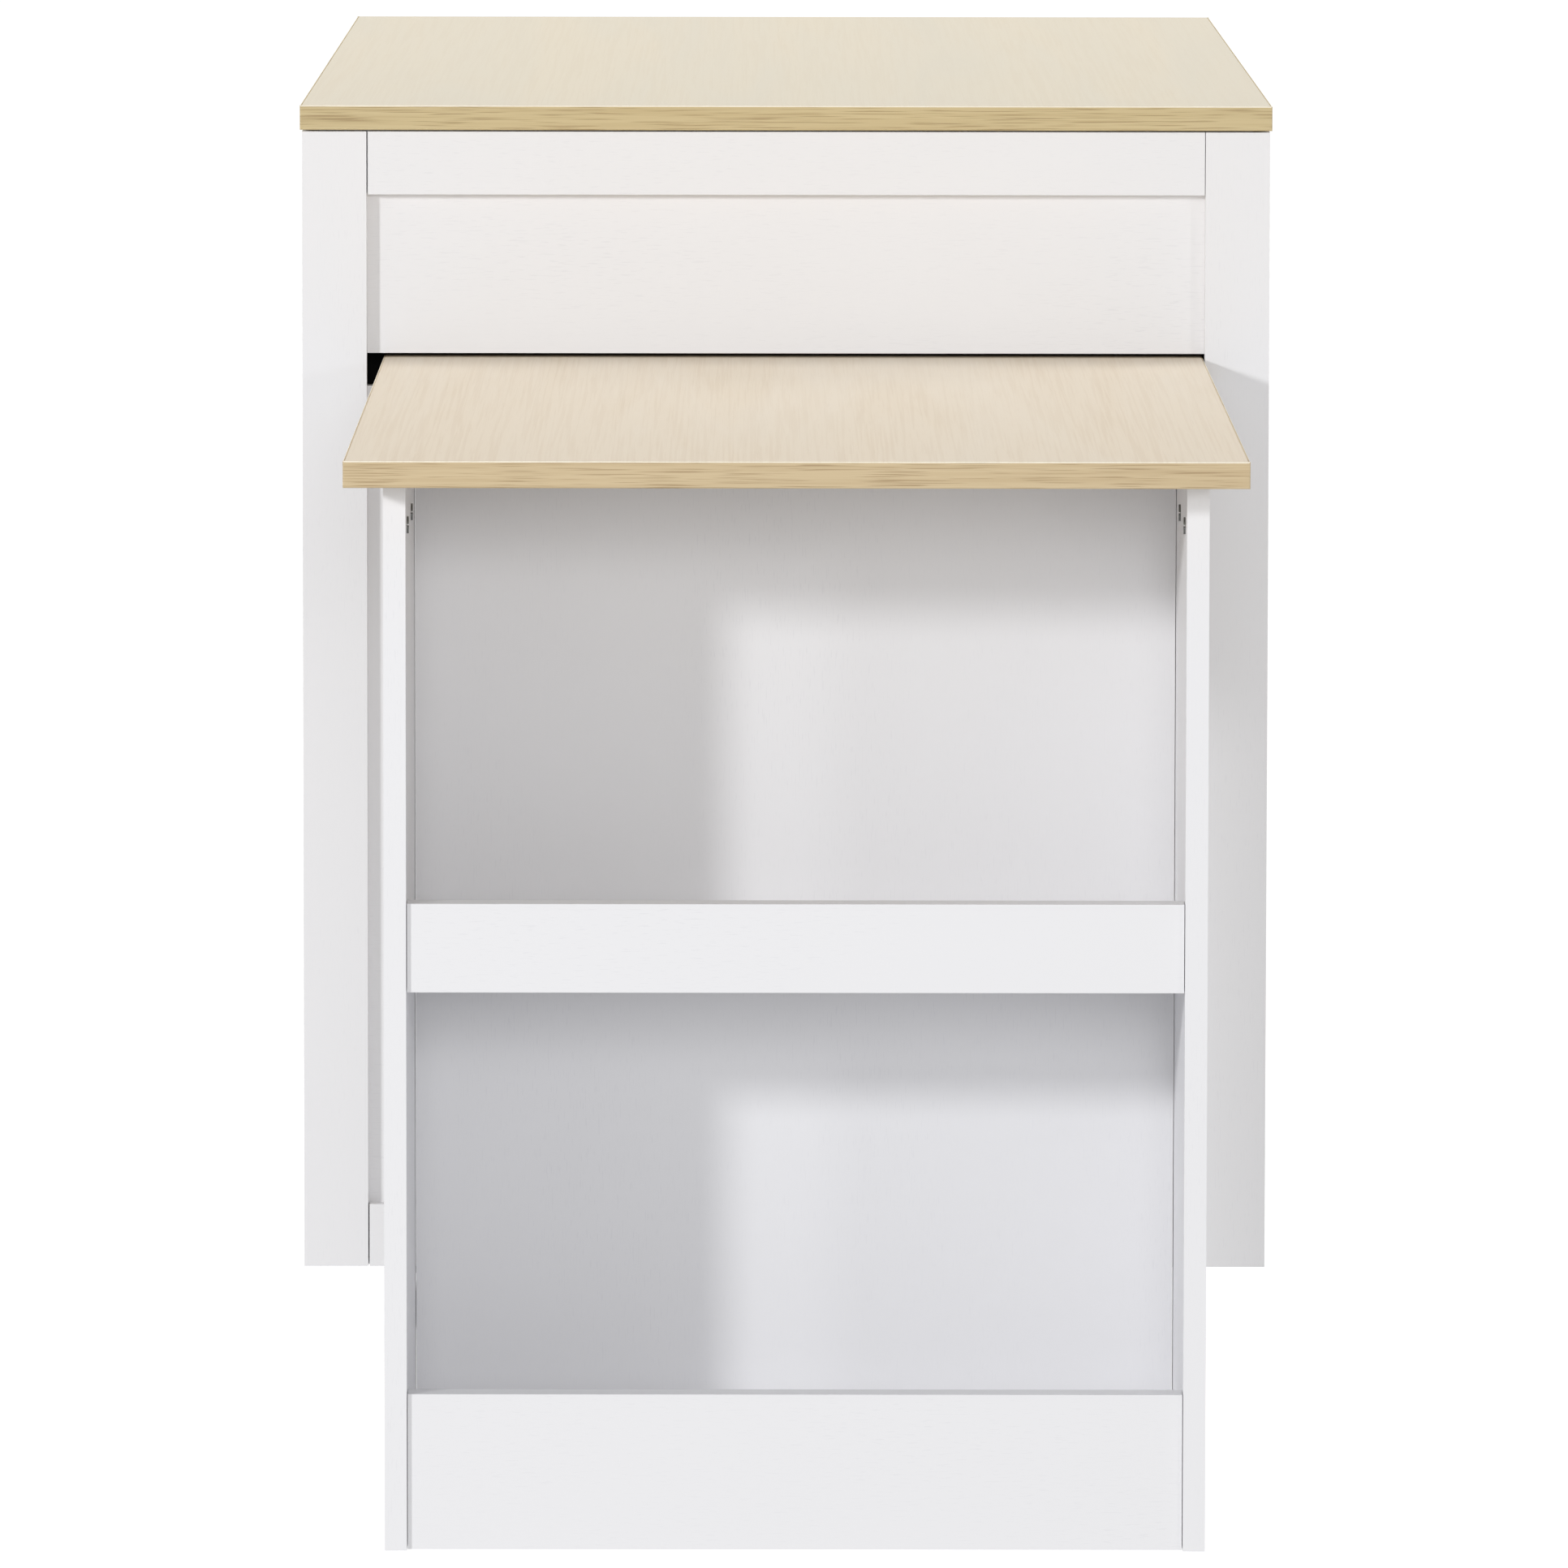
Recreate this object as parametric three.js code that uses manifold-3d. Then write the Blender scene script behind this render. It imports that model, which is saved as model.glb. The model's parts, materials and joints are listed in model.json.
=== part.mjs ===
// Kitchen island with a lower table that pulls out of a slot in its front end.
// Millimetres, +Z up. The table slides out along -Y, and the island's long way is Y.
// The origin is on the floor, under the middle of the whole object with the table pulled out.
import * as THREE from 'three';
import { mergeVertices } from 'three/addons/utils/BufferGeometryUtils.js';
import Module from 'manifold-3d';

const wasm = await Module();
wasm.setup();

// Island top and body
const islandWidth = 710;
const islandLength = 1415;
const islandHeight = 922;
const topThickness = 18;
const sideOverhang = 1.5;
const endOverhang = 2;

// Framed ends and sides
const frameThickness = 12;
const topJoint = 1.2;
const stileWidth = 47;
const sideStileWidth = 35;
const railHeight = 46;
const railGapLeft = 1;
const railGapRight = 0.5;
const boardThickness = 15;

// Table that slides through the front end
const tableWidth = 600;
const tableHeight = 737;
const tableThickness = 18;
const tableReach = 955;
const tableOverlap = 255;
const tableOffset = 5.5;
const slotClearance = 3;

// Rack that carries the free end of the table
const rackWidth = 550;
const rackDepth = 245;
const rackSetback = 55;
const lipThickness = 24;
const lipSetback = 3.5;
const lipEndGap = 0.5;
const backEndGap = 0.6;
const midShelfHeight = 376.5;
const midLipHeight = 59.5;
const bottomShelfHeight = 46;
const kickHeight = 105;
const kickLift = 0.5;

// Cam locks between the rack's sides and the table
const camDiameter = 12;
const camDepth = 9;
const camProud = 1.2;
const camDrop = 32;
const camFirst = 37;
const camSecond = 142;
const camFit = 0.3;
const camSlotWidth = 1.6;
const camSlotDepth = 1.2;

// Runners that hold the table inside the island
const runnerGrip = 20;
const runnerFlange = 18;
const runnerFit = 0.5;
const runnerSideFit = 1;
const runnerStart = 40;
const runnerSpare = 20;
const deckDrop = 15;
const stopDepth = 40;
const stopSideGap = 12;
const stopLift = 2;
const stopFit = 0.3;
const closedGap = 5;

// Shelves in the open side
const shelfSetback = 20;

// Swivel casters under the bottom board
const casterInsetX = 90;
const casterInsetY = 80;
const casterPlate = 56;
const casterPlateThickness = 3;
const wheelDiameter = 50;
const wheelWidth = 20;
const wheelTrail = 20;
const treadRound = 3;
const hubRecess = 2;
const axleDiameter = 8;
const axleFit = 0.3;
const forkThickness = 2.5;
const forkSideFit = 1.5;
const forkEdge = 8;
const forkSkirt = 16;
const forkWheelFit = 3;
const rivetHead = 1;
const raceDiameter = 34;
const raceHeight = 8.1;
const raceFit = 0.4;
const roundSides = 24;
const roundSteps = 3;

// A cutter runs this far past the face that it cuts.
const cutPast = 1;

// Places that follow from the sizes above; the island's underside rests on its casters.
const forkTop = wheelDiameter + forkWheelFit + forkThickness;
const raceTop = forkTop + raceHeight;
const plateBottom = raceTop + raceFit;
const undersideHeight = plateBottom + casterPlateThickness;
const bodyHalf = islandWidth / 2 - sideOverhang;
const bodyLength = islandLength - 2 * endOverhang;
const bodyTop = islandHeight - topThickness;
const frameTop = bodyTop - topJoint;
const innerHalf = bodyHalf - frameThickness;
const backX = -innerHalf + boardThickness;
const panelFront = frameThickness;
const panelBack = panelFront + boardThickness;
const openingHalf = bodyHalf - stileWidth;
const tableBottom = tableHeight - tableThickness;
const slotBottom = tableBottom - slotClearance;
const slotTop = tableHeight + slotClearance;
const deckTop = slotBottom - deckDrop;
const deckBottom = deckTop - boardThickness;
const floorTop = undersideHeight + boardThickness;
const tableFront = -tableReach;
const tableBack = tableOverlap;
const tableLeft = tableOffset - tableWidth / 2;
const tableRight = tableOffset + tableWidth / 2;
const rackFront = tableFront + rackSetback;
const rackBack = rackFront + rackDepth;
const rackLeft = tableOffset - rackWidth / 2;
const rackRight = tableOffset + rackWidth / 2;
const travelIn = -rackBack - closedGap;

const whiteBoard = { color: 0xe8e8ea, roughness: 0.45, metalness: 0 };
const maple = { color: 0xe6ddc8, roughness: 0.5, metalness: 0 };
const beech = { color: 0xc9a878, roughness: 0.6, metalness: 0 };
const blackNylon = { color: 0x17181a, roughness: 0.55, metalness: 0 };
const zinc = { color: 0xb9bcc0, roughness: 0.35, metalness: 0.9 };
const greyRubber = { color: 0x4a4c50, roughness: 0.7, metalness: 0 };

const object = new THREE.Group();
// The middle of the whole length, table included, comes to Y = 0.
object.position.y = -(tableFront + bodyLength + endOverhang) / 2;

function addMesh(name, geometry, finish) {
  const mesh = new THREE.Mesh(geometry, new THREE.MeshStandardMaterial(finish));
  mesh.name = name;
  object.add(mesh);
  return mesh;
}

// A rectangular board between two corners.
function board(name, finish, [x0, x1], [y0, y1], [z0, z1]) {
  const mesh = addMesh(name, new THREE.BoxGeometry(x1 - x0, y1 - y0, z1 - z0), finish);
  mesh.position.set((x0 + x1) / 2, (y0 + y1) / 2, (z0 + z1) / 2);
}

function inOrder(a, b) {
  return [Math.min(a, b), Math.max(a, b)];
}

function toSolid(geometry) {
  const bare = geometry.clone();
  bare.deleteAttribute('normal');
  bare.deleteAttribute('uv');
  const merged = mergeVertices(bare);
  const vertProperties = new Float32Array(merged.attributes.position.array);
  const triVerts = new Uint32Array(merged.index.array);
  return new wasm.Manifold(new wasm.Mesh({ numProp: 3, vertProperties, triVerts }));
}

function toGeometry(solid) {
  const { vertProperties, triVerts } = solid.getMesh();
  const geometry = new THREE.BufferGeometry();
  geometry.setAttribute('position', new THREE.BufferAttribute(vertProperties, 3));
  geometry.setIndex(new THREE.BufferAttribute(triVerts, 1));
  geometry.computeVertexNormals();
  return geometry;
}

function boxSolid([x0, x1], [y0, y1], [z0, z1]) {
  const geometry = new THREE.BoxGeometry(x1 - x0, y1 - y0, z1 - z0);
  geometry.translate((x0 + x1) / 2, (y0 + y1) / 2, (z0 + z1) / 2);
  return toSolid(geometry);
}

// A round bar along X between two places, centred on y and z.
function barAlongX(radius, [x0, x1], y, z) {
  const geometry = new THREE.CylinderGeometry(radius, radius, x1 - x0, roundSides);
  geometry.rotateZ(Math.PI / 2);
  geometry.translate((x0 + x1) / 2, y, z);
  return toSolid(geometry);
}

function addIslandTop() {
  board('island_top', maple, [-islandWidth / 2, islandWidth / 2],
    [-endOverhang, bodyLength + endOverhang], [bodyTop, islandHeight]);
}

// Stiles and rails of one end, laid over the end board and a thin joint short of the top;
// y is the frame's lower Y.
function addEndFrame(end, y) {
  const depth = [y, y + frameThickness];
  const rail = [-openingHalf + railGapLeft, openingHalf - railGapRight];
  board(`${end}_stile_left`, whiteBoard, [-bodyHalf, -openingHalf], depth, [undersideHeight, frameTop]);
  board(`${end}_stile_right`, whiteBoard, [openingHalf, bodyHalf], depth, [undersideHeight, frameTop]);
  board(`${end}_top_rail`, whiteBoard, rail, depth, [frameTop - railHeight, frameTop]);
  board(`${end}_bottom_rail`, whiteBoard, rail, depth, [undersideHeight, undersideHeight + railHeight]);
}

// The front end board is in two parts, and the slot for the table is the space between them.
function addFrontEnd() {
  const width = [backX, innerHalf];
  addEndFrame('front', 0);
  board('front_upper_panel', whiteBoard, width, [panelFront, panelBack], [slotTop, bodyTop]);
  board('front_lower_panel', whiteBoard, width, [panelFront, panelBack], [undersideHeight, slotBottom]);
}

function addRearEnd() {
  addEndFrame('rear', bodyLength - frameThickness);
  board('rear_panel', whiteBoard, [backX, innerHalf],
    [bodyLength - panelBack, bodyLength - panelFront], [undersideHeight, bodyTop]);
}

// Frame of a long side: three stiles between a top and a bottom rail.
function addSideFrame(side, [x0, x1], midStileTop) {
  const near = frameThickness;
  const far = bodyLength - frameThickness;
  const middle = bodyLength / 2;
  const bottomOfRails = undersideHeight + railHeight;
  const rail = [near + sideStileWidth, far - sideStileWidth];
  const width = [x0, x1];
  board(`${side}_front_stile`, whiteBoard, width, [near, rail[0]], [undersideHeight, frameTop]);
  board(`${side}_rear_stile`, whiteBoard, width, [rail[1], far], [undersideHeight, frameTop]);
  board(`${side}_mid_stile`, whiteBoard, width, [middle - stileWidth / 2, middle + stileWidth / 2],
    [bottomOfRails, midStileTop]);
  board(`${side}_top_rail`, whiteBoard, width, rail, [frameTop - railHeight, frameTop]);
  board(`${side}_bottom_rail`, whiteBoard, width, rail, [undersideHeight, bottomOfRails]);
}

function addClosedSide() {
  addSideFrame('left', [-bodyHalf, -innerHalf], frameTop - railHeight);
  board('left_panel', whiteBoard, [-innerHalf, backX],
    [panelFront, bodyLength - panelFront], [undersideHeight, bodyTop]);
}

// The open side has shelf bays below a rail that hides the table and its deck.
function addOpenSide() {
  const midRail = [slotBottom - railHeight, slotBottom];
  addSideFrame('right', [innerHalf, bodyHalf], midRail[0]);
  board('right_mid_rail', whiteBoard, [innerHalf, bodyHalf],
    [frameThickness + sideStileWidth, bodyLength - frameThickness - sideStileWidth], midRail);
  board('right_upper_panel', whiteBoard, [innerHalf - boardThickness, innerHalf],
    [panelBack, bodyLength - panelBack], [deckTop, bodyTop]);
}

function addCarcass() {
  const width = [backX, innerHalf];
  const inside = [panelBack, bodyLength - panelBack];
  const middle = [(bodyLength - boardThickness) / 2, (bodyLength + boardThickness) / 2];
  const shelfBottom = (floorTop + deckBottom - boardThickness) / 2;
  const shelf = [shelfBottom, shelfBottom + boardThickness];
  const shelfWidth = [backX, innerHalf - shelfSetback];
  board('bottom_board', whiteBoard, width, inside, [undersideHeight, floorTop]);
  board('deck_board', whiteBoard, width, inside, [deckBottom, deckTop]);
  board('divider', whiteBoard, width, middle, [floorTop, deckBottom]);
  board('front_shelf', whiteBoard, shelfWidth, [inside[0], middle[0]], shelf);
  board('rear_shelf', whiteBoard, shelfWidth, [middle[1], inside[1]], shelf);
}

// A grooved runner that holds one long edge of the table and is fixed to the board beside it.
// side is -1 on the left, 1 on the right.
function addRunner(name, side, tableEdge, outer) {
  const web = tableEdge + side * runnerSideFit;
  const inner = tableEdge - side * runnerGrip;
  const grooveBottom = tableBottom - runnerFit;
  const grooveTop = tableHeight + runnerFit;
  const top = grooveTop + runnerFlange;
  const profile = new THREE.Shape([
    new THREE.Vector2(outer, deckTop),
    new THREE.Vector2(outer, top),
    new THREE.Vector2(inner, top),
    new THREE.Vector2(inner, grooveTop),
    new THREE.Vector2(web, grooveTop),
    new THREE.Vector2(web, grooveBottom),
    new THREE.Vector2(inner, grooveBottom),
    new THREE.Vector2(inner, deckTop),
  ]);
  const start = panelBack + runnerStart;
  const length = tableBack + travelIn + runnerSpare - start;
  const geometry = new THREE.ExtrudeGeometry(profile, { depth: length, bevelEnabled: false });
  // The profile's Y becomes Z, and the extrusion runs along +Y.
  geometry.rotateX(Math.PI / 2);
  geometry.translate(0, start + length, 0);
  addMesh(name, geometry, blackNylon);
}

// The table top is in two lengths of one solid, so that the part of its upper side that is left
// in the open is a face of its own. The line between them is just outside the slot.
function addTableTop() {
  const length = tableBack - tableFront;
  const geometry = new THREE.BoxGeometry(tableWidth, length, tableThickness, 1, 2, 1);
  const points = geometry.attributes.position;
  for (let i = 0; i < points.count; i += 1) {
    const alongTable = points.getY(i) === 0 ? -slotClearance - tableFront : points.getY(i) + length / 2;
    points.setY(i, tableFront + alongTable);
  }
  geometry.translate(tableOffset, 0, (tableBottom + tableHeight) / 2);
  addMesh('table_top', geometry, maple);
}

function addTable() {
  addTableTop();
  // The batten under the table meets the front end board when the table is fully out.
  const front = panelBack + stopFit;
  const inset = runnerGrip + stopSideGap;
  board('stop_batten', beech, [tableLeft + inset, tableRight - inset],
    [front, front + stopDepth], [deckTop + stopLift, tableBottom]);
}

const camPlaces = [['front', rackFront + camFirst], ['rear', rackFront + camSecond]];
const camHeight = tableBottom - camDrop;

// A side board of the rack with blind holes for the cam locks in its inner face.
function addRackSide(side, outer, inner) {
  const into = Math.sign(outer - inner);
  let solid = boxSolid(inOrder(outer, inner), [rackFront, rackBack], [0, tableBottom]);
  for (const [, y] of camPlaces) {
    const ends = inOrder(inner - into * cutPast, inner + into * camDepth);
    solid = solid.subtract(barAlongX(camDiameter / 2, ends, y, camHeight));
  }
  addMesh(`rack_side_${side}`, toGeometry(solid), whiteBoard);
}

// A cam lock: a short disc in its hole, standing a little proud, with a slot across its face.
function addCamLocks(side, inner, into) {
  for (const [place, y] of camPlaces) {
    const proud = inner - into * camProud;
    const ends = inOrder(proud, inner + into * (camDepth - camFit));
    const face = inOrder(proud - into * cutPast, proud + into * camSlotDepth);
    const disc = barAlongX(camDiameter / 2 - camFit, ends, y, camHeight);
    const slot = boxSolid(face, [y - camDiameter / 2, y + camDiameter / 2],
      [camHeight - camSlotWidth / 2, camHeight + camSlotWidth / 2]);
    addMesh(`cam_lock_${side}_${place}`, toGeometry(disc.subtract(slot)), zinc);
  }
}

function addRack() {
  const innerLeft = rackLeft + boardThickness;
  const innerRight = rackRight - boardThickness;
  const width = [innerLeft, innerRight];
  const backFront = rackBack - boardThickness;
  const lip = [rackFront + lipSetback, rackFront + lipSetback + lipThickness];
  const lipWidth = [innerLeft + lipEndGap, innerRight - lipEndGap];
  const shelf = [lip[1], backFront];
  addRackSide('left', rackLeft, innerLeft);
  addRackSide('right', rackRight, innerRight);
  addCamLocks('left', innerLeft, -1);
  addCamLocks('right', innerRight, 1);
  board('rack_back', whiteBoard, [innerLeft + backEndGap, innerRight - backEndGap],
    [backFront, rackBack], [kickLift, tableBottom]);
  board('rack_mid_shelf', whiteBoard, width, shelf, [midShelfHeight, midShelfHeight + boardThickness]);
  board('rack_bottom_shelf', whiteBoard, width, shelf,
    [bottomShelfHeight, bottomShelfHeight + boardThickness]);
  board('rack_mid_lip', whiteBoard, lipWidth, lip, [midShelfHeight, midShelfHeight + midLipHeight]);
  board('rack_kick_board', whiteBoard, lipWidth, lip, [kickLift, kickLift + kickHeight]);
}

const wheelRadius = wheelDiameter / 2;

// A wheel about X, with a rounded tread, a recessed hub and a bore for the axle.
function addWheel(name, x, y) {
  const half = wheelWidth / 2;
  const bore = axleDiameter / 2 + axleFit;
  const hub = axleDiameter;
  const rim = wheelRadius - 2 * treadRound;
  const profile = new THREE.Path();
  profile.moveTo(bore, -half);
  profile.lineTo(hub, -half);
  profile.lineTo(hub, -half + hubRecess);
  profile.lineTo(rim, -half + hubRecess);
  profile.lineTo(rim, -half);
  profile.lineTo(wheelRadius - treadRound, -half);
  profile.absarc(wheelRadius - treadRound, -half + treadRound, treadRound, -Math.PI / 2, 0, false);
  profile.absarc(wheelRadius - treadRound, half - treadRound, treadRound, 0, Math.PI / 2, false);
  profile.lineTo(rim, half);
  profile.lineTo(rim, half - hubRecess);
  profile.lineTo(hub, half - hubRecess);
  profile.lineTo(hub, half);
  profile.lineTo(bore, half);
  profile.closePath();
  const geometry = new THREE.LatheGeometry(profile.getPoints(roundSteps), roundSides);
  geometry.rotateZ(Math.PI / 2);
  geometry.translate(x, y, wheelRadius);
  addMesh(name, geometry, greyRubber);
}

// The fork: a swivel race, a bridge, two cheeks and the riveted axle that the wheel turns on.
function addFork(name, x, y) {
  const cheek = wheelWidth / 2 + forkSideFit;
  const outer = cheek + forkThickness;
  const axleY = y + wheelTrail;
  const bridgeBottom = forkTop - forkThickness;
  const bridge = [y - raceDiameter / 2, axleY + forkEdge];
  const ear = [axleY - forkEdge, axleY + forkEdge];
  const pin = [x - outer - rivetHead, x + outer + rivetHead];
  const raceRadius = raceDiameter / 2;
  const race = new THREE.CylinderGeometry(raceRadius, raceRadius, raceTop - bridgeBottom, roundSides);
  race.rotateX(Math.PI / 2);
  race.translate(x, y, (raceTop + bridgeBottom) / 2);
  let solid = toSolid(race).add(boxSolid([x - outer, x + outer], bridge, [bridgeBottom, forkTop]));
  for (const side of [-1, 1]) {
    const wide = inOrder(x + side * cheek, x + side * outer);
    solid = solid.add(boxSolid(wide, ear, [wheelRadius - forkEdge, forkTop]));
    solid = solid.add(boxSolid(wide, bridge, [forkTop - forkSkirt, forkTop]));
  }
  solid = solid.add(barAlongX(axleDiameter / 2, pin, axleY, wheelRadius));
  addMesh(name, toGeometry(solid), zinc);
}

function addCaster(corner, x, y) {
  const half = casterPlate / 2;
  board(`caster_plate_${corner}`, zinc, [x - half, x + half], [y - half, y + half],
    [plateBottom, undersideHeight]);
  addFork(`caster_fork_${corner}`, x, y);
  addWheel(`caster_wheel_${corner}`, x, y + wheelTrail);
}

function addCasters() {
  for (const [sideName, side] of [['left', -1], ['right', 1]]) {
    const x = side * (bodyHalf - casterInsetX);
    addCaster(`front_${sideName}`, x, casterInsetY);
    addCaster(`rear_${sideName}`, x, bodyLength - casterInsetY);
  }
}

addIslandTop();
addFrontEnd();
addRearEnd();
addClosedSide();
addOpenSide();
addCarcass();
addRunner('runner_left', -1, tableLeft, backX);
addRunner('runner_right', 1, tableRight, innerHalf - boardThickness);
addTable();
addRack();
addCasters();

export default object;
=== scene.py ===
import json
import math

import bmesh
import bpy
from mathutils import Matrix, Vector


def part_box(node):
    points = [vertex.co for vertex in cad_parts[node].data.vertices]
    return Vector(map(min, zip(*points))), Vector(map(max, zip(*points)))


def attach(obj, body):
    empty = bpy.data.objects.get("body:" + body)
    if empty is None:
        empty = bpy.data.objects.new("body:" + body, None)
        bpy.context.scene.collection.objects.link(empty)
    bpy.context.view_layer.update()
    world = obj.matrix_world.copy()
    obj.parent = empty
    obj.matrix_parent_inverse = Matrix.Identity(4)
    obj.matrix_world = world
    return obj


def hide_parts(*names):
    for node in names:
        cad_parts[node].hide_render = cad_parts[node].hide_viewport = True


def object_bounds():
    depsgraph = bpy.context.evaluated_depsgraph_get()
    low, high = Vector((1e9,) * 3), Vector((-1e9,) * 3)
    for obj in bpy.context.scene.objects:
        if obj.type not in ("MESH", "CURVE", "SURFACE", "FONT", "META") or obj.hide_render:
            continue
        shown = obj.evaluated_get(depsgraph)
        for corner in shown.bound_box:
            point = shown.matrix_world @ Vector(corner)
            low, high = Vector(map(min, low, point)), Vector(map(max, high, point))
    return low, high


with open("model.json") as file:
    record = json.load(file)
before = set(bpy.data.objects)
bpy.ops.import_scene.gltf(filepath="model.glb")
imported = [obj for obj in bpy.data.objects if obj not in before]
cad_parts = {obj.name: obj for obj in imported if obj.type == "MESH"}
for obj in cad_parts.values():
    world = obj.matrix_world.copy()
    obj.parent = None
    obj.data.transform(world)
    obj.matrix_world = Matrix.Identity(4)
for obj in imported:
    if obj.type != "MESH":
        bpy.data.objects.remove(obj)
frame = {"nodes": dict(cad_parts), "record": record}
cadLow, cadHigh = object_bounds()
cadNodes = frame["nodes"]
mm = 0.001
corners = ["front_left", "front_right", "rear_left", "rear_right"]
print("frame loaded,", len(cadNodes), "nodes")

# Camera: a long lens a little above the island's top, tilted down
cameraPlace = {
    "lens": 308.8,
    "back": 9.817,      # from the island's front frame
    "side": -0.018,
    "height": 1.437,
    "tilt": 5.89,
    "turn": -0.10,
    "roll": 0.08,
    "farthest": 200,    # nothing past this is drawn
}


def makeCamera():
    data = bpy.data.cameras.new("studioCamera")
    data.lens = cameraPlace["lens"]
    data.clip_end = cameraPlace["farthest"]
    camera = bpy.data.objects.new("studioCamera", data)
    bpy.context.scene.collection.objects.link(camera)
    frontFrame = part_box("front_stile_left")[0].y
    spot = (cameraPlace["side"], frontFrame - cameraPlace["back"], cameraPlace["height"])
    place = Matrix.Translation(spot)
    turn = Matrix.Rotation(math.radians(cameraPlace["turn"]), 4, "Z")
    tilt = Matrix.Rotation(math.radians(90 - cameraPlace["tilt"]), 4, "X")
    roll = Matrix.Rotation(math.radians(cameraPlace["roll"]), 4, "Z")
    camera.matrix_world = place @ turn @ tilt @ roll
    bpy.context.scene.camera = camera


# Node helpers shared by the finishes

def newFinish(name):
    material = bpy.data.materials.new(name)
    material.use_nodes = True
    tree = material.node_tree
    surface = next(n for n in tree.nodes if n.type == "BSDF_PRINCIPLED")
    return material, tree, surface


def stretched(tree, scale):
    # Object coordinates are in metres, so a scale of 500 gives marks about 2 mm apart.
    coords = tree.nodes.new("ShaderNodeTexCoord")
    mapping = tree.nodes.new("ShaderNodeMapping")
    mapping.inputs["Scale"].default_value = scale
    tree.links.new(coords.outputs["Object"], mapping.inputs["Vector"])
    return mapping.outputs["Vector"]


def noise(tree, vector, detail=3.0, rough=0.55, bend=0.0):
    node = tree.nodes.new("ShaderNodeTexNoise")
    node.inputs["Scale"].default_value = 1.0
    node.inputs["Detail"].default_value = detail
    node.inputs["Roughness"].default_value = rough
    node.inputs["Distortion"].default_value = bend
    tree.links.new(vector, node.inputs["Vector"])
    return node.outputs["Fac"]


def spread(tree, value, low, high, to=(0.0, 1.0)):
    node = tree.nodes.new("ShaderNodeMapRange")
    node.inputs["From Min"].default_value = low
    node.inputs["From Max"].default_value = high
    node.inputs["To Min"].default_value = to[0]
    node.inputs["To Max"].default_value = to[1]
    tree.links.new(value, node.inputs["Value"])
    return node.outputs["Result"]


def combine(tree, kind, first, second):
    node = tree.nodes.new("ShaderNodeMath")
    node.operation = kind
    for socket, value in zip(node.inputs, (first, second)):
        if isinstance(value, (int, float)):
            socket.default_value = value
        else:
            tree.links.new(value, socket)
    return node.outputs["Value"]


def blendColours(tree, amount, first, second):
    node = tree.nodes.new("ShaderNodeMix")
    node.data_type = "RGBA"
    tree.links.new(amount, node.inputs["Factor"])
    for socket, value in ((node.inputs["A"], first), (node.inputs["B"], second)):
        if isinstance(value, tuple):
            socket.default_value = (*value, 1.0)
        else:
            tree.links.new(value, socket)
    return node.outputs["Result"]


def emboss(tree, surface, height, depth, strength=1.0):
    node = tree.nodes.new("ShaderNodeBump")
    node.inputs["Strength"].default_value = strength
    node.inputs["Distance"].default_value = depth
    tree.links.new(height, node.inputs["Height"])
    tree.links.new(node.outputs["Normal"], surface.inputs["Normal"])


def toned(colour, tone):
    return tuple(c * t for c, t in zip(colour, tone))


def alongAxis(axis, along, across):
    return tuple(along if a == axis else across for a in "xyz")


# White laminate: a cool white print with a fine ticking pressed along the board

whiteLaminate = {
    "colour": (0.82, 0.82, 0.84),
    "shade": (0.775, 0.775, 0.80),
    "tickScale": (90, 1100),    # marks per metre along and across the board
    "cloudScale": (2.5, 7),
    "tickMask": (0.60, 0.72),
    "gloss": (0.36, 0.48),
    "emboss": 0.02 * mm,
}


def makeWhiteLaminate(name, axis, look):
    material, tree, surface = newFinish(name)
    ticks = noise(tree, stretched(tree, alongAxis(axis, *look["tickScale"])), detail=1.0)
    clouds = noise(tree, stretched(tree, alongAxis(axis, *look["cloudScale"])), detail=2.0)
    tickMask = spread(tree, ticks, *look["tickMask"])
    printed = combine(tree, "MULTIPLY", tickMask, spread(tree, clouds, 0.35, 0.65))
    colour = blendColours(tree, printed, look["colour"], look["shade"])
    tree.links.new(colour, surface.inputs["Base Color"])
    tree.links.new(spread(tree, clouds, 0.3, 0.7, look["gloss"]), surface.inputs["Roughness"])
    emboss(tree, surface, ticks, look["emboss"])
    return material


# Maple laminate for the two tops: pale cream, with fine wavy lines of grain gathered in bands

mapleLaminate = {
    "tones": {"island": (1.0, 1.0, 1.0), "table": (0.99, 0.945, 0.93)},
    "light": (0.815, 0.75, 0.615),
    "dark": (0.60, 0.48, 0.33),
    "figure": (0.795, 0.72, 0.58),
    "bandScale": (15, 0.7, 10),
    "lineScale": (390, 3.0, 60),
    "fibreScale": (1100, 14, 100),
    "lineMask": (0.47, 0.60),
    "fibreMask": (0.55, 0.72),
    "lineShare": {"island": 0.07, "table": 0.17},
    "fibreShare": {"island": 0.05, "table": 0.10},
    "gloss": (0.42, 0.56),
    "sheen": 0.3,
    "emboss": 0.04 * mm,
}


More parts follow.
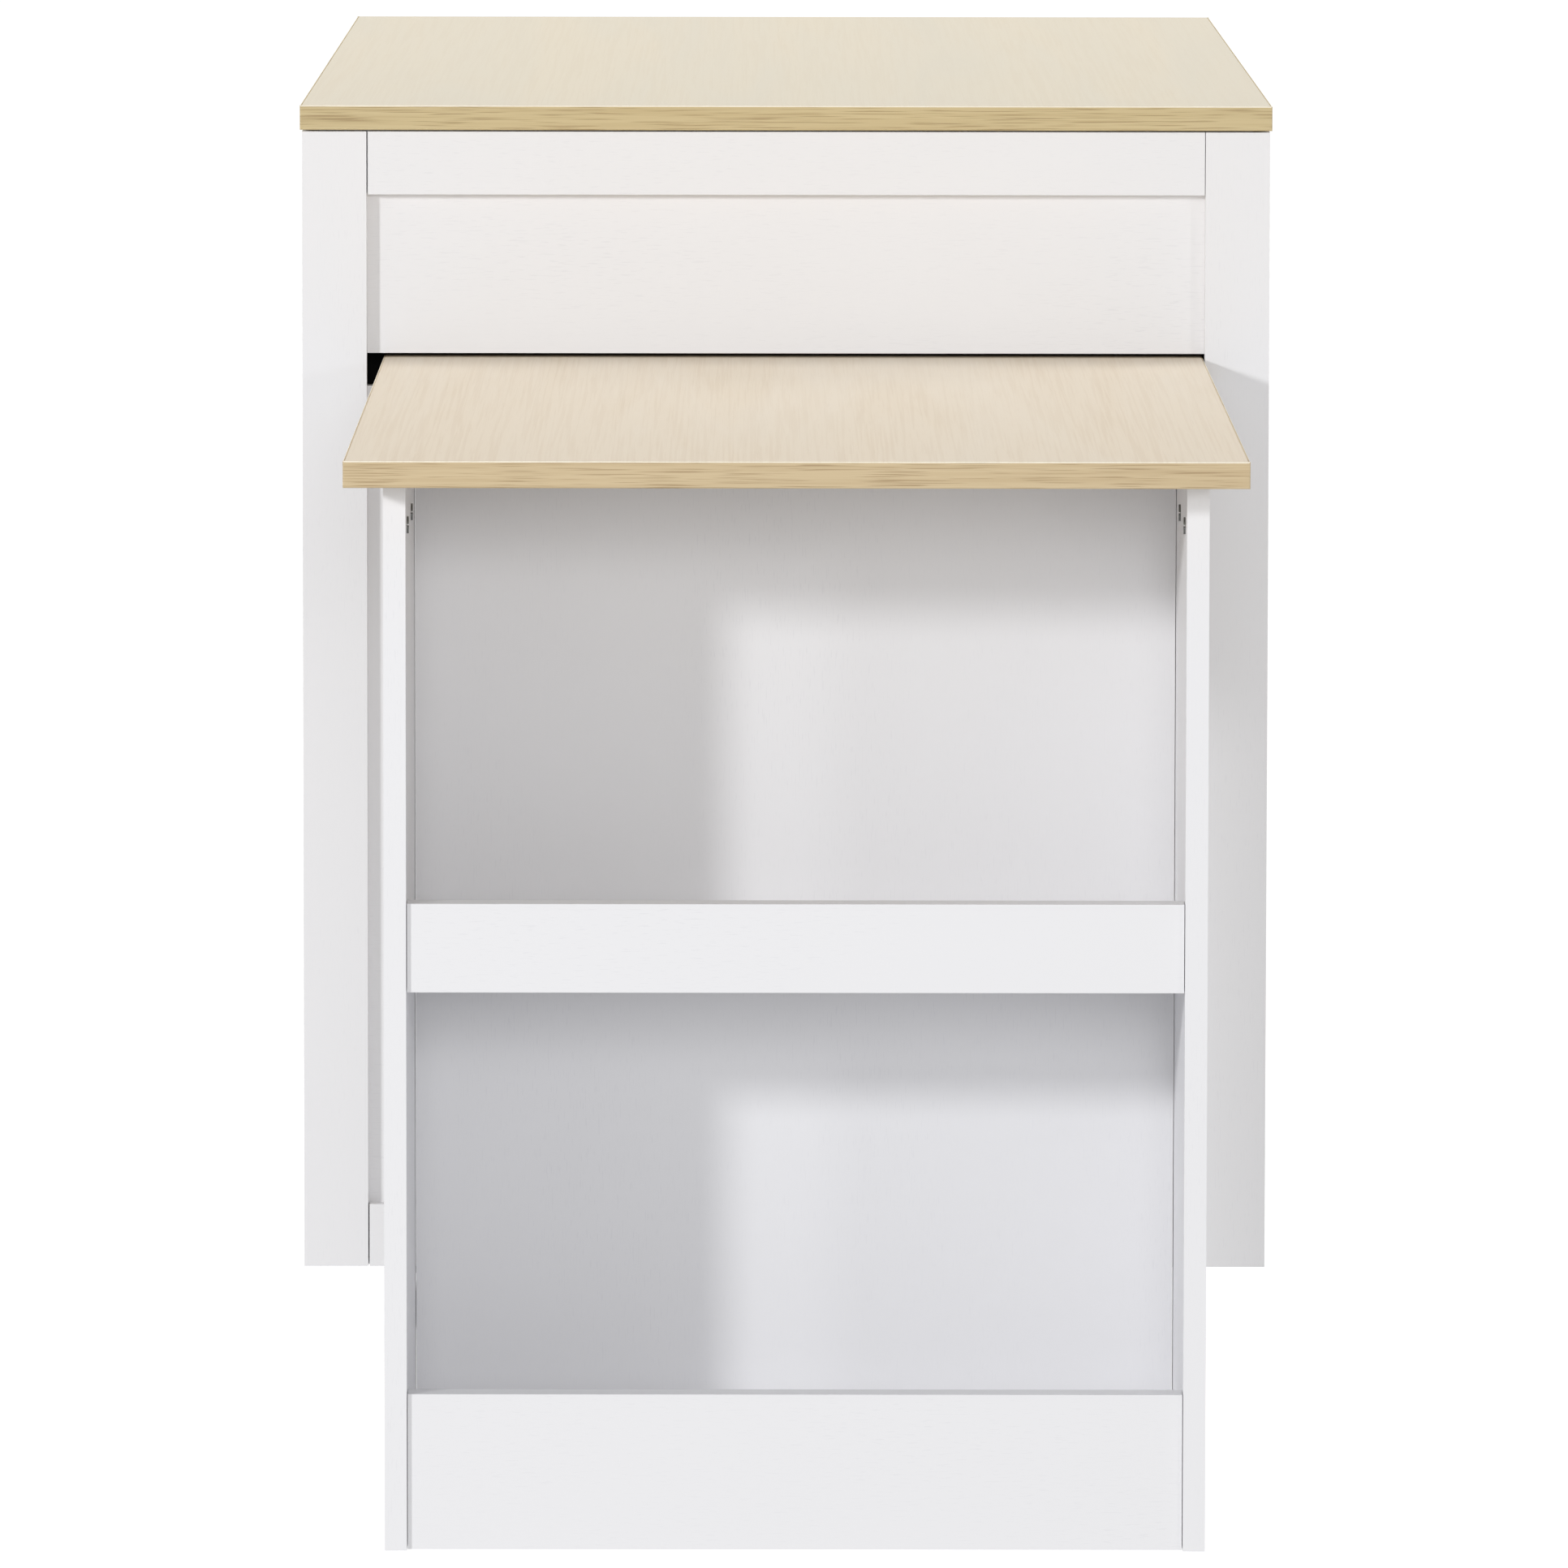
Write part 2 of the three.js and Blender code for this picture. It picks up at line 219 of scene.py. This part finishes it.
def makeMapleLaminate(name, look, top, tone):
    material, tree, surface = newFinish(name)
    surface.inputs["Specular IOR Level"].default_value = look["sheen"]
    light, dark, figure = (toned(look[key], tone) for key in ("light", "dark", "figure"))
    bands = noise(tree, stretched(tree, look["bandScale"]), detail=3.0, rough=0.6, bend=0.8)
    lines = noise(tree, stretched(tree, look["lineScale"]), detail=2.0, rough=0.5, bend=0.3)
    fibres = noise(tree, stretched(tree, look["fibreScale"]), detail=2.0)
    base = blendColours(tree, spread(tree, bands, 0.35, 0.68), light, figure)
    gather = spread(tree, bands, 0.30, 0.60, (0.35, 1.0))
    gathered = combine(tree, "MULTIPLY", spread(tree, lines, *look["lineMask"]), gather)
    lined = blendColours(tree, combine(tree, "MULTIPLY", gathered, look["lineShare"][top]), base, dark)
    fibreMask = spread(tree, fibres, *look["fibreMask"])
    fibreShare = combine(tree, "MULTIPLY", fibreMask, look["fibreShare"][top])
    tree.links.new(blendColours(tree, fibreShare, lined, dark), surface.inputs["Base Color"])
    tree.links.new(spread(tree, bands, 0.3, 0.7, look["gloss"]), surface.inputs["Roughness"])
    emboss(tree, surface, combine(tree, "SUBTRACT", fibres, gathered), look["emboss"])
    return material


# Edge band: a darker tan strip with dashed brown grain along its length

edgeBand = {
    "tones": {"island": (1.0, 1.0, 1.0), "table": (1.03, 1.0, 1.1)},
    "light": (0.60, 0.485, 0.265),
    "dark": (0.30, 0.20, 0.085),
    "figure": (0.555, 0.44, 0.235),
    "dashScale": (20, 1250),
    "streakScale": (5, 420),
    "dashMask": (0.56, 0.66),
    "dashShare": 0.62,
    "gloss": (0.40, 0.55),
    "emboss": 0.05 * mm,
}


def makeEdgeBand(name, axis, look, tone):
    material, tree, surface = newFinish(name)
    light, dark, figure = (toned(look[key], tone) for key in ("light", "dark", "figure"))
    dashes = noise(tree, stretched(tree, alongAxis(axis, *look["dashScale"])), detail=1.0, rough=0.5)
    streaks = noise(tree, stretched(tree, alongAxis(axis, *look["streakScale"])), detail=2.0, rough=0.5)
    dashMask = spread(tree, dashes, *look["dashMask"])
    streaked = blendColours(tree, spread(tree, streaks, 0.42, 0.66), light, figure)
    share = combine(tree, "MULTIPLY", dashMask, look["dashShare"])
    tree.links.new(blendColours(tree, share, streaked, dark), surface.inputs["Base Color"])
    tree.links.new(spread(tree, streaks, 0.3, 0.7, look["gloss"]), surface.inputs["Roughness"])
    emboss(tree, surface, combine(tree, "MULTIPLY", dashMask, -1.0), look["emboss"])
    return material


# Beech for the stop batten, planed and unvarnished

beechWood = {
    "light": (0.60, 0.42, 0.24),
    "dark": (0.43, 0.27, 0.13),
    "ringScale": (4, 90),
    "fleckScale": (160, 900),
    "fleckShare": 0.6,
    "gloss": (0.5, 0.68),
    "emboss": 0.08 * mm,
}


def makeBeech(name, axis, look):
    material, tree, surface = newFinish(name)
    ringPlace = stretched(tree, alongAxis(axis, *look["ringScale"]))
    rings = noise(tree, ringPlace, detail=4.0, rough=0.6, bend=0.6)
    flecks = noise(tree, stretched(tree, alongAxis(axis, *look["fleckScale"])), detail=2.0)
    fleckMask = spread(tree, flecks, 0.62, 0.72)
    base = blendColours(tree, spread(tree, rings, 0.35, 0.7), look["light"], look["dark"])
    share = combine(tree, "MULTIPLY", fleckMask, look["fleckShare"])
    tree.links.new(blendColours(tree, share, base, look["dark"]), surface.inputs["Base Color"])
    tree.links.new(spread(tree, rings, 0.3, 0.7, look["gloss"]), surface.inputs["Roughness"])
    emboss(tree, surface, combine(tree, "SUBTRACT", rings, fleckMask), look["emboss"])
    return material


# Zinc-plated steel and die-cast zinc: spangle, fine scratches and dull patches

zincPlate = {
    "light": (0.62, 0.63, 0.65),
    "dark": (0.42, 0.43, 0.45),
    "gloss": (0.24, 0.46),
    "emboss": 0.02 * mm,
}
# The cams' die-cast zinc is given a dark grey, darker than bare zinc, as painted shade so that the cams read
# as dark marks on the rack's inner faces.
camCastPaintedShade = {
    "light": (0.20, 0.205, 0.20),
    "dark": (0.10, 0.105, 0.10),
    "gloss": (0.35, 0.55),
    "emboss": 0.03 * mm,
}
zincMarks = {"patchScale": (160, 160, 160), "scratchScale": (90, 1600, 1600), "metal": 0.9}


def makeZinc(name, look):
    material, tree, surface = newFinish(name)
    surface.inputs["Metallic"].default_value = zincMarks["metal"]
    patches = noise(tree, stretched(tree, zincMarks["patchScale"]), detail=4.0, rough=0.6)
    scratches = noise(tree, stretched(tree, zincMarks["scratchScale"]), detail=2.0)
    amount = combine(tree, "MULTIPLY", spread(tree, patches, 0.35, 0.65), spread(tree, scratches, 0.3, 0.8))
    tree.links.new(blendColours(tree, amount, look["light"], look["dark"]), surface.inputs["Base Color"])
    tree.links.new(spread(tree, patches, 0.3, 0.7, look["gloss"]), surface.inputs["Roughness"])
    emboss(tree, surface, scratches, look["emboss"])
    return material


# Moulded plastics and rubber: a fine stipple with a little dust in it

mouldedMarks = {"gritScale": (1500, 1500, 1500), "dustScale": (45, 45, 45)}
moulded = {
    "tyreRubber": {"light": (0.13, 0.135, 0.14), "dark": (0.07, 0.072, 0.078), "gloss": (0.5, 0.72),
                   "stipple": 0.03 * mm, "sheen": 0.5},
    "hubPlastic": {"light": (0.36, 0.37, 0.38), "dark": (0.27, 0.275, 0.285), "gloss": (0.35, 0.5),
                   "stipple": 0.02 * mm, "sheen": 0.5},
    # Black nylon, pushed to near black as painted shade, so that the slot around the table's runners reads
    # as black.
    "blackNylon": {"light": (0.006, 0.006, 0.007), "dark": (0.003, 0.003, 0.003), "gloss": (0.55, 0.7),
                   "stipple": 0.03 * mm, "sheen": 0.12},
    "whitePlastic": {"light": (0.80, 0.80, 0.82), "dark": (0.74, 0.74, 0.76), "gloss": (0.3, 0.42),
                     "stipple": 0.01 * mm, "sheen": 0.5},
}


def makeMoulded(name, look):
    material, tree, surface = newFinish(name)
    surface.inputs["Specular IOR Level"].default_value = look["sheen"]
    grit = noise(tree, stretched(tree, mouldedMarks["gritScale"]), detail=2.0)
    dust = noise(tree, stretched(tree, mouldedMarks["dustScale"]), detail=4.0, rough=0.65)
    dusted = blendColours(tree, spread(tree, dust, 0.42, 0.7), look["dark"], look["light"])
    tree.links.new(dusted, surface.inputs["Base Color"])
    tree.links.new(spread(tree, dust, 0.3, 0.7, look["gloss"]), surface.inputs["Roughness"])
    emboss(tree, surface, grit, look["stipple"])
    return material


whiteAlong = {a: makeWhiteLaminate("whiteLaminate_" + a, a, whiteLaminate) for a in "xyz"}
tops = ["island", "table"]
bandAlong = {t: {a: makeEdgeBand("edgeBand_" + t + "_" + a, a, edgeBand, edgeBand["tones"][t]) for a in "xy"}
             for t in tops}
maple = {t: makeMapleLaminate("mapleLaminate_" + t, mapleLaminate, t, mapleLaminate["tones"][t])
         for t in tops}
beechAlong = {a: makeBeech("beech_" + a, a, beechWood) for a in "xy"}
zinc = makeZinc("zincPlate", zincPlate)
camZincPaintedShade = makeZinc("camZincPaintedShade", camCastPaintedShade)
plastics = {name: makeMoulded(name, look) for name, look in moulded.items()}
print("finishes made")


# Carried-over boards: each gets its laminate along its longest side, and softened arrises

arrisWidth = {"board": 0.35 * mm, "runner": 0.5 * mm, "caster": 0.3 * mm, "cam": 0.15 * mm}
arrisBuild = {"segments": 3, "sharpest": 50}    # corners that turn less are left


def longestAxis(node):
    low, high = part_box(node)
    size = high - low
    return "xyz"[max(range(3), key=lambda i: size[i])]


def soften(piece, width):
    bevel = piece.modifiers.new("arris", "BEVEL")
    bevel.width = width
    bevel.segments = arrisBuild["segments"]
    bevel.limit_method = "ANGLE"
    bevel.angle_limit = math.radians(arrisBuild["sharpest"])


def dress(node, material, width=arrisWidth["board"]):
    piece = cadNodes[node]
    for holder in piece.material_slots:
        holder.material = material
    soften(piece, width)


slotOf = {row["node"]: row["material_slot"] for row in frame["record"]["subparts"]}
for node, slot in slotOf.items():
    if slot == "white_laminate":
        dress(node, whiteAlong[longestAxis(node)])
    elif slot == "beech":
        dress(node, beechAlong[longestAxis(node)])
    elif slot == "black_nylon":
        # The runners take the near-black nylon, which is painted shade for the slot.
        dress(node, plastics["blackNylon"], arrisWidth["runner"])
    elif slot == "caster_zinc":
        dress(node, zinc, arrisWidth["caster"])
    elif slot == "cam_zinc":
        # The cams take the darkened zinc, partly painted shade.
        dress(node, camZincPaintedShade, arrisWidth["cam"])
print("boards dressed")


# Mesh helpers for the pieces made here

def addPiece(name, mesh, materials, body, smooth=False):
    data = bpy.data.meshes.new(name)
    mesh.to_mesh(data)
    mesh.free()
    for material in materials:
        data.materials.append(material)
    if smooth:
        data.shade_smooth()
    piece = bpy.data.objects.new(name, data)
    bpy.context.scene.collection.objects.link(piece)
    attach(piece, body)
    return piece


# outward is the direction that a strip faces: only its arrises on that side are rounded.
def roundedBox(mesh, low, high, radius, segments, outward=None):
    made = bmesh.ops.create_cube(mesh, size=1.0)
    middle = (Vector(low) + Vector(high)) / 2
    size = Vector(high) - Vector(low)
    facing = {v: outward is None or v.co.dot(Vector(outward)) > 0 for v in made["verts"]}
    for vertex in made["verts"]:
        vertex.co = middle + Vector(c * s for c, s in zip(vertex.co, size))
    edges = {edge for vertex in made["verts"] for edge in vertex.link_edges}
    chosen = [edge for edge in edges if all(facing[v] for v in edge.verts)]
    chosen.sort(key=lambda edge: tuple(round(c, 5) for v in edge.verts for c in v.co))
    bmesh.ops.bevel(mesh, geom=chosen, offset=radius, segments=segments, profile=0.5, affect="EDGES")


# Turns a closed profile of (radius, place along axis) points about an axis through centre.
def turned(mesh, profile, axis, centre, steps=48):
    lean = Vector((0, 0, 1)).rotation_difference(Vector(axis))
    place = Matrix.Translation(centre) @ lean.to_matrix().to_4x4()
    rings = []
    for step in range(steps):
        angle = 2 * math.pi * step / steps
        turn = Vector((math.cos(angle), math.sin(angle), 0))
        rings.append([mesh.verts.new(place @ (turn * r + Vector((0, 0, h)))) for r, h in profile])
    count = len(profile)
    for step in range(steps):
        here, there = rings[step], rings[(step + 1) % steps]
        for i in range(count):
            k = (i + 1) % count
            mesh.faces.new((here[i], there[i], there[k], here[k]))
    bmesh.ops.recalc_face_normals(mesh, faces=mesh.faces)


def arc(centreR, centreH, radius, start, end, steps=5):
    angles = [math.radians(start + (end - start) * i / steps) for i in range(steps + 1)]
    return [(centreR + radius * math.cos(a), centreH + radius * math.sin(a)) for a in angles]


# The two tops: a laminated core with a solid band on each edge

topBuild = {
    "band": 1.3 * mm,
    "bandRound": 0.9 * mm,
    "bandSegments": 4,
    "coreRound": 0.15 * mm,
    "coreSegments": 2,
    "seam": 0.06 * mm,
}
# This tone brightens the maple past its own colour: a painted highlight for the upward-facing faces of the
# band's rounded arris.
arrisHighlightTone = {"tone": (1.14, 1.16, 1.2), "lowest": 0.15, "highest": 0.97}


# Painted highlight: the rounded arris faces that turn upwards get the brightened maple finish, standing in
# for light caught on the upper arris.
def markHighlightArris(mesh):
    for face in mesh.faces:
        face.normal_update()
        if arrisHighlightTone["lowest"] < face.normal.z < arrisHighlightTone["highest"]:
            face.material_index = 1


mapleHighlightArris = {t: makeMapleLaminate("mapleHighlightArris_" + t, mapleLaminate, t, arrisHighlightTone["tone"]) for t in tops}


def makeTop(node, name, body):
    low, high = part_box(node)
    band = topBuild["band"]
    inset = Vector((band + topBuild["seam"], band + topBuild["seam"], 0))
    near, far = low.y + inset.y, high.y - inset.y
    core = bmesh.new()
    roundedBox(core, low + inset, high - inset, topBuild["coreRound"], topBuild["coreSegments"])
    corePiece = addPiece(name + "Core", core, [maple[body]], body)
    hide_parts(node)
    strips = {
        "Front": ("x", (0, -1, 0), low, (high.x, low.y + band, high.z)),
        "Rear": ("x", (0, 1, 0), (low.x, high.y - band, low.z), high),
        "Left": ("y", (-1, 0, 0), (low.x, near, low.z), (low.x + band, far, high.z)),
        "Right": ("y", (1, 0, 0), (high.x - band, near, low.z), (high.x, far, high.z)),
    }
    for side, (grain, outward, start, end) in strips.items():
        strip = bmesh.new()
        roundedBox(strip, start, end, topBuild["bandRound"], topBuild["bandSegments"], outward)
        markHighlightArris(strip)
        # The second finish is the painted highlight on the upward-facing arris faces.
        finishes = [bandAlong[body][grain], mapleHighlightArris[body]]
        addPiece(name + "Band" + side, strip, finishes, body)


makeTop("island_top", "islandTop", "island")
makeTop("table_top", "tableTop", "table")
print("tops made")


# Casters: a tyre and a hub stand for each wheel, with a race cup and screws on the plate

caster = {
    "tyreDepth": 5.5 * mm,
    "shoulder": 3.0 * mm,
    "groove": 0.5 * mm,
    "hubDish": 2.6 * mm,
    "hubFit": 0.1 * mm,
    "boreShare": 0.17,      # of the wheel's radius
    "bossShare": 0.34,
    "cupWall": 2.0 * mm,
    "cupFit": 0.4 * mm,
    "cupEdge": 1.0 * mm,
    "cupDepth": 6.5 * mm,
}
plateScrew = {
    "radius": 3.6 * mm,
    "height": 1.9 * mm,
    "inset": 8.0 * mm,
    "socket": 0.9 * mm,
    "socketMouth": 1.1 * mm,
    "steps": 20,
}


def makeWheel(corner):
    low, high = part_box("caster_wheel_" + corner)
    middle = (low + high) / 2
    radius = (high.z - low.z) / 2
    half = (high.x - low.x) / 2
    inner = radius - caster["tyreDepth"]
    shoulder = caster["shoulder"]
    groove = caster["groove"]
    profile = [(inner, -half + groove)]
    profile += arc(radius - shoulder, -half + shoulder, shoulder, -90, 0)
    profile += [(radius, -groove), (radius - groove, 0), (radius, groove)]
    profile += arc(radius - shoulder, half - shoulder, shoulder, 0, 90)
    profile += [(inner, half - groove)]
    tyre = bmesh.new()
    turned(tyre, profile, (1, 0, 0), middle)
    body = "wheel_" + corner
    tyrePiece = addPiece("tyre_" + corner, tyre, [plastics["tyreRubber"]], body, smooth=True)
    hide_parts("caster_wheel_" + corner)
    bore, boss = radius * caster["boreShare"], radius * caster["bossShare"]
    rim = inner - caster["hubFit"]
    dish = half - caster["hubDish"]
    profile = [(bore, -half), (boss, -half), (boss + groove, -dish), (rim - 3 * groove, -dish),
               (rim - groove, -half + groove), (rim, -half + 2 * groove), (rim, half - 2 * groove),
               (rim - groove, half - groove), (rim - 3 * groove, dish), (boss + groove, dish), (boss, half),
               (bore, half)]
    hub = bmesh.new()
    turned(hub, profile, (1, 0, 0), middle)
    addPiece("hub_" + corner, hub, [plastics["hubPlastic"]], body)


def makeRaceCup(corner):
    plateLow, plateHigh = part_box("caster_plate_" + corner)
    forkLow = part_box("caster_fork_" + corner)[0]
    middle = (plateLow + plateHigh) / 2
    inner = middle.y - forkLow.y + caster["cupFit"]
    outer = inner + caster["cupWall"]
    edge = caster["cupEdge"]
    top = plateLow.z
    bottom = top - caster["cupDepth"]
    profile = [(inner, bottom), (outer - edge, bottom), (outer, bottom + edge), (outer, top - edge),
               (outer + edge, top), (inner, top)]
    cup = bmesh.new()
    turned(cup, profile, (0, 0, 1), (middle.x, middle.y, 0))
    addPiece("raceCup_" + corner, cup, [zinc], "island")


def makePlateScrews(corner):
    low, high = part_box("caster_plate_" + corner)
    inset, radius, height = plateScrew["inset"], plateScrew["radius"], plateScrew["height"]
    socket, mouth = plateScrew["socket"], plateScrew["socketMouth"]
    screws = bmesh.new()
    for x in (low.x + inset, high.x - inset):
        for y in (low.y + inset, high.y - inset):
            profile = [(socket, low.z), (radius, low.z), (radius, low.z - 0.4 * height),
                       (radius * 0.75, low.z - 0.85 * height), (mouth, low.z - height),
                       (socket, low.z - 0.5 * height)]
            turned(screws, profile, (0, 0, 1), (x, y, 0), plateScrew["steps"])
    addPiece("plateScrews_" + corner, screws, [zinc], "island")


for corner in corners:
    makeWheel(corner)
    makeRaceCup(corner)
    makePlateScrews(corner)
print("casters made")


# Shelf pins under the island's shelves, and caps over the rack's screws

pinBuild = {
    "radius": 2.5 * mm,
    "collarShare": 1.6,     # of the pin's radius
    "collarDepth": 1.0 * mm,
    "shoulder": 1.4 * mm,
    "nose": 0.8 * mm,
    "core": 0.3 * mm,
    "length": 9 * mm,
    "inset": 45 * mm,
    "steps": 20,
}


def makeShelfPins(shelf):
    low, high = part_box(shelf)
    radius, length, nose, core = (pinBuild[key] for key in ("radius", "length", "nose", "core"))
    collar = radius * pinBuild["collarShare"]
    profile = [(core, 0), (collar, 0), (collar, pinBuild["collarDepth"]), (radius, pinBuild["shoulder"]),
               (radius, length - nose), (radius - nose, length), (core, length)]
    pins = bmesh.new()
    for x in (low.x + pinBuild["inset"], high.x - pinBuild["inset"]):
        for y, inward in ((low.y, 1), (high.y, -1)):
            turned(pins, profile, (0, inward, 0), (x, y, low.z - collar), pinBuild["steps"])
    addPiece("shelfPins_" + shelf, pins, [zinc], "island")


capBuild = {
    "radius": 6 * mm,
    "height": 0.9 * mm,
    "edge": 0.8 * mm,
    "core": 0.4 * mm,
    "inset": 38 * mm,
    "steps": 28,
}


def makeScrewCaps(side, direction):
    low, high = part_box("rack_side_" + side)
    outer = low.x if direction < 0 else high.x
    radius, height, edge, core = (capBuild[key] for key in ("radius", "height", "edge", "core"))
    profile = [(core, 0), (radius, 0), (radius, 0.4 * height), (radius - edge, height), (core, height * 1.1)]
    caps = bmesh.new()
    for shelf in ("rack_bottom_shelf", "rack_mid_shelf"):
        shelfLow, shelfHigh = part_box(shelf)
        z = (shelfLow.z + shelfHigh.z) / 2
        for y in (low.y + capBuild["inset"], high.y - capBuild["inset"]):
            turned(caps, profile, (direction, 0, 0), (outer, y, z), capBuild["steps"])
    addPiece("screwCaps_" + side, caps, [plastics["whitePlastic"]], "table")


for shelf in ("front_shelf", "rear_shelf"):
    makeShelfPins(shelf)
makeScrewCaps("left", -1)
makeScrewCaps("right", 1)
print("small fittings made")


# Studio: a pale floor and soft boxes all round, so that every side is lit

studio = {
    "floorSize": 200,
    "floorColour": (0.90, 0.90, 0.90),
    "floorGlow": 0.68,
    "skyColour": (1.0, 0.997, 0.99),
    "skyAbove": 0.42,
    "skyBelow": 0.62,
    "horizon": 0.1,     # half the height of the sky's change of tone
}
# azimuth is from the front, to the right; share is what a face turned to the light gains
softBoxes = {
    "keyLeft": {"azimuth": -39, "elevation": 15.2, "distance": 9, "size": 0.75, "share": 0.33},
    "keyRight": {"azimuth": 41.7, "elevation": 10.6, "distance": 9, "size": 0.9, "share": 0.065},
    "frontFill": {"azimuth": 1, "elevation": 10, "distance": 14, "size": 3.2, "share": 0.15},
    "leftFill": {"azimuth": -125, "elevation": 20, "distance": 8, "size": 4.0, "share": 0.27},
    "rightFill": {"azimuth": 125, "elevation": 20, "distance": 8, "size": 4.0, "share": 0.33},
    "overhead": {"azimuth": 180, "elevation": 76, "distance": 7, "size": 4.0, "share": 0.35},
}


def makeFloor():
    half = studio["floorSize"] / 2
    mesh = bmesh.new()
    bmesh.ops.create_grid(mesh, x_segments=4, y_segments=4, size=half)
    data = bpy.data.meshes.new("studioFloor")
    mesh.to_mesh(data)
    mesh.free()
    material, tree, surface = newFinish("floorPaint")
    mottle = noise(tree, stretched(tree, (1.5, 1.5, 1.5)), detail=3.0)
    pale = studio["floorColour"]
    tone = blendColours(tree, mottle, pale, tuple(c * 0.99 for c in pale))
    tree.links.new(tone, surface.inputs["Base Color"])
    surface.inputs["Roughness"].default_value = 0.9
    surface.inputs["Specular IOR Level"].default_value = 0.0
    surface.inputs["Emission Color"].default_value = (1, 1, 1, 1)
    surface.inputs["Emission Strength"].default_value = studio["floorGlow"]
    material.cycles.emission_sampling = "NONE"
    data.materials.append(material)
    floor = bpy.data.objects.new("studioFloor", data)
    bpy.context.scene.collection.objects.link(floor)
    floor.visible_diffuse = False   # the sky below it gives the bounced light, evenly
    return floor


def makeSky():
    world = bpy.data.worlds.new("studioSky")
    bpy.context.scene.world = world
    world.use_nodes = True
    tree = world.node_tree
    background = tree.nodes["Background"]
    background.inputs["Color"].default_value = (*studio["skyColour"], 1)
    direction = tree.nodes.new("ShaderNodeTexCoord")
    split = tree.nodes.new("ShaderNodeSeparateXYZ")
    tree.links.new(direction.outputs["Generated"], split.inputs["Vector"])
    half = studio["horizon"]
    share = spread(tree, split.outputs["Z"], -half, half, (studio["skyBelow"], studio["skyAbove"]))
    tree.links.new(share, background.inputs["Strength"])
    world.cycles.sampling_method = "NONE"


def makeSoftBox(name, box, target, unlit):
    azimuth, elevation = math.radians(box["azimuth"]), math.radians(box["elevation"])
    out = Vector((math.sin(azimuth) * math.cos(elevation), -math.cos(azimuth) * math.cos(elevation),
                  math.sin(elevation)))
    data = bpy.data.lights.new(name, "AREA")
    data.shape = "DISK"
    data.size = box["size"]
    data.energy = box["share"] * math.pi ** 2 * box["distance"] ** 2
    light = bpy.data.objects.new(name, data)
    light.location = target + out * box["distance"]
    light.rotation_mode = "QUATERNION"
    light.rotation_quaternion = out.to_track_quat("Z", "Y")
    light.visible_camera = False
    light.light_linking.receiver_collection = unlit
    bpy.context.scene.collection.objects.link(light)


# The floor keeps its own even glow: the lamps leave it out, so it takes no hard shadow.
def leaveOut(piece):
    group = bpy.data.collections.new("unlitByLamps")
    group.objects.link(piece)
    group.collection_objects[0].light_linking.link_state = "EXCLUDE"
    return group


makeCamera()
unlit = leaveOut(makeFloor())
makeSky()
middle = Vector((0, 0, (cadLow.z + cadHigh.z) / 2))
for name, box in softBoxes.items():
    makeSoftBox(name, box, middle, unlit)
bpy.context.scene.view_settings.view_transform = "Standard"
print("studio lit")
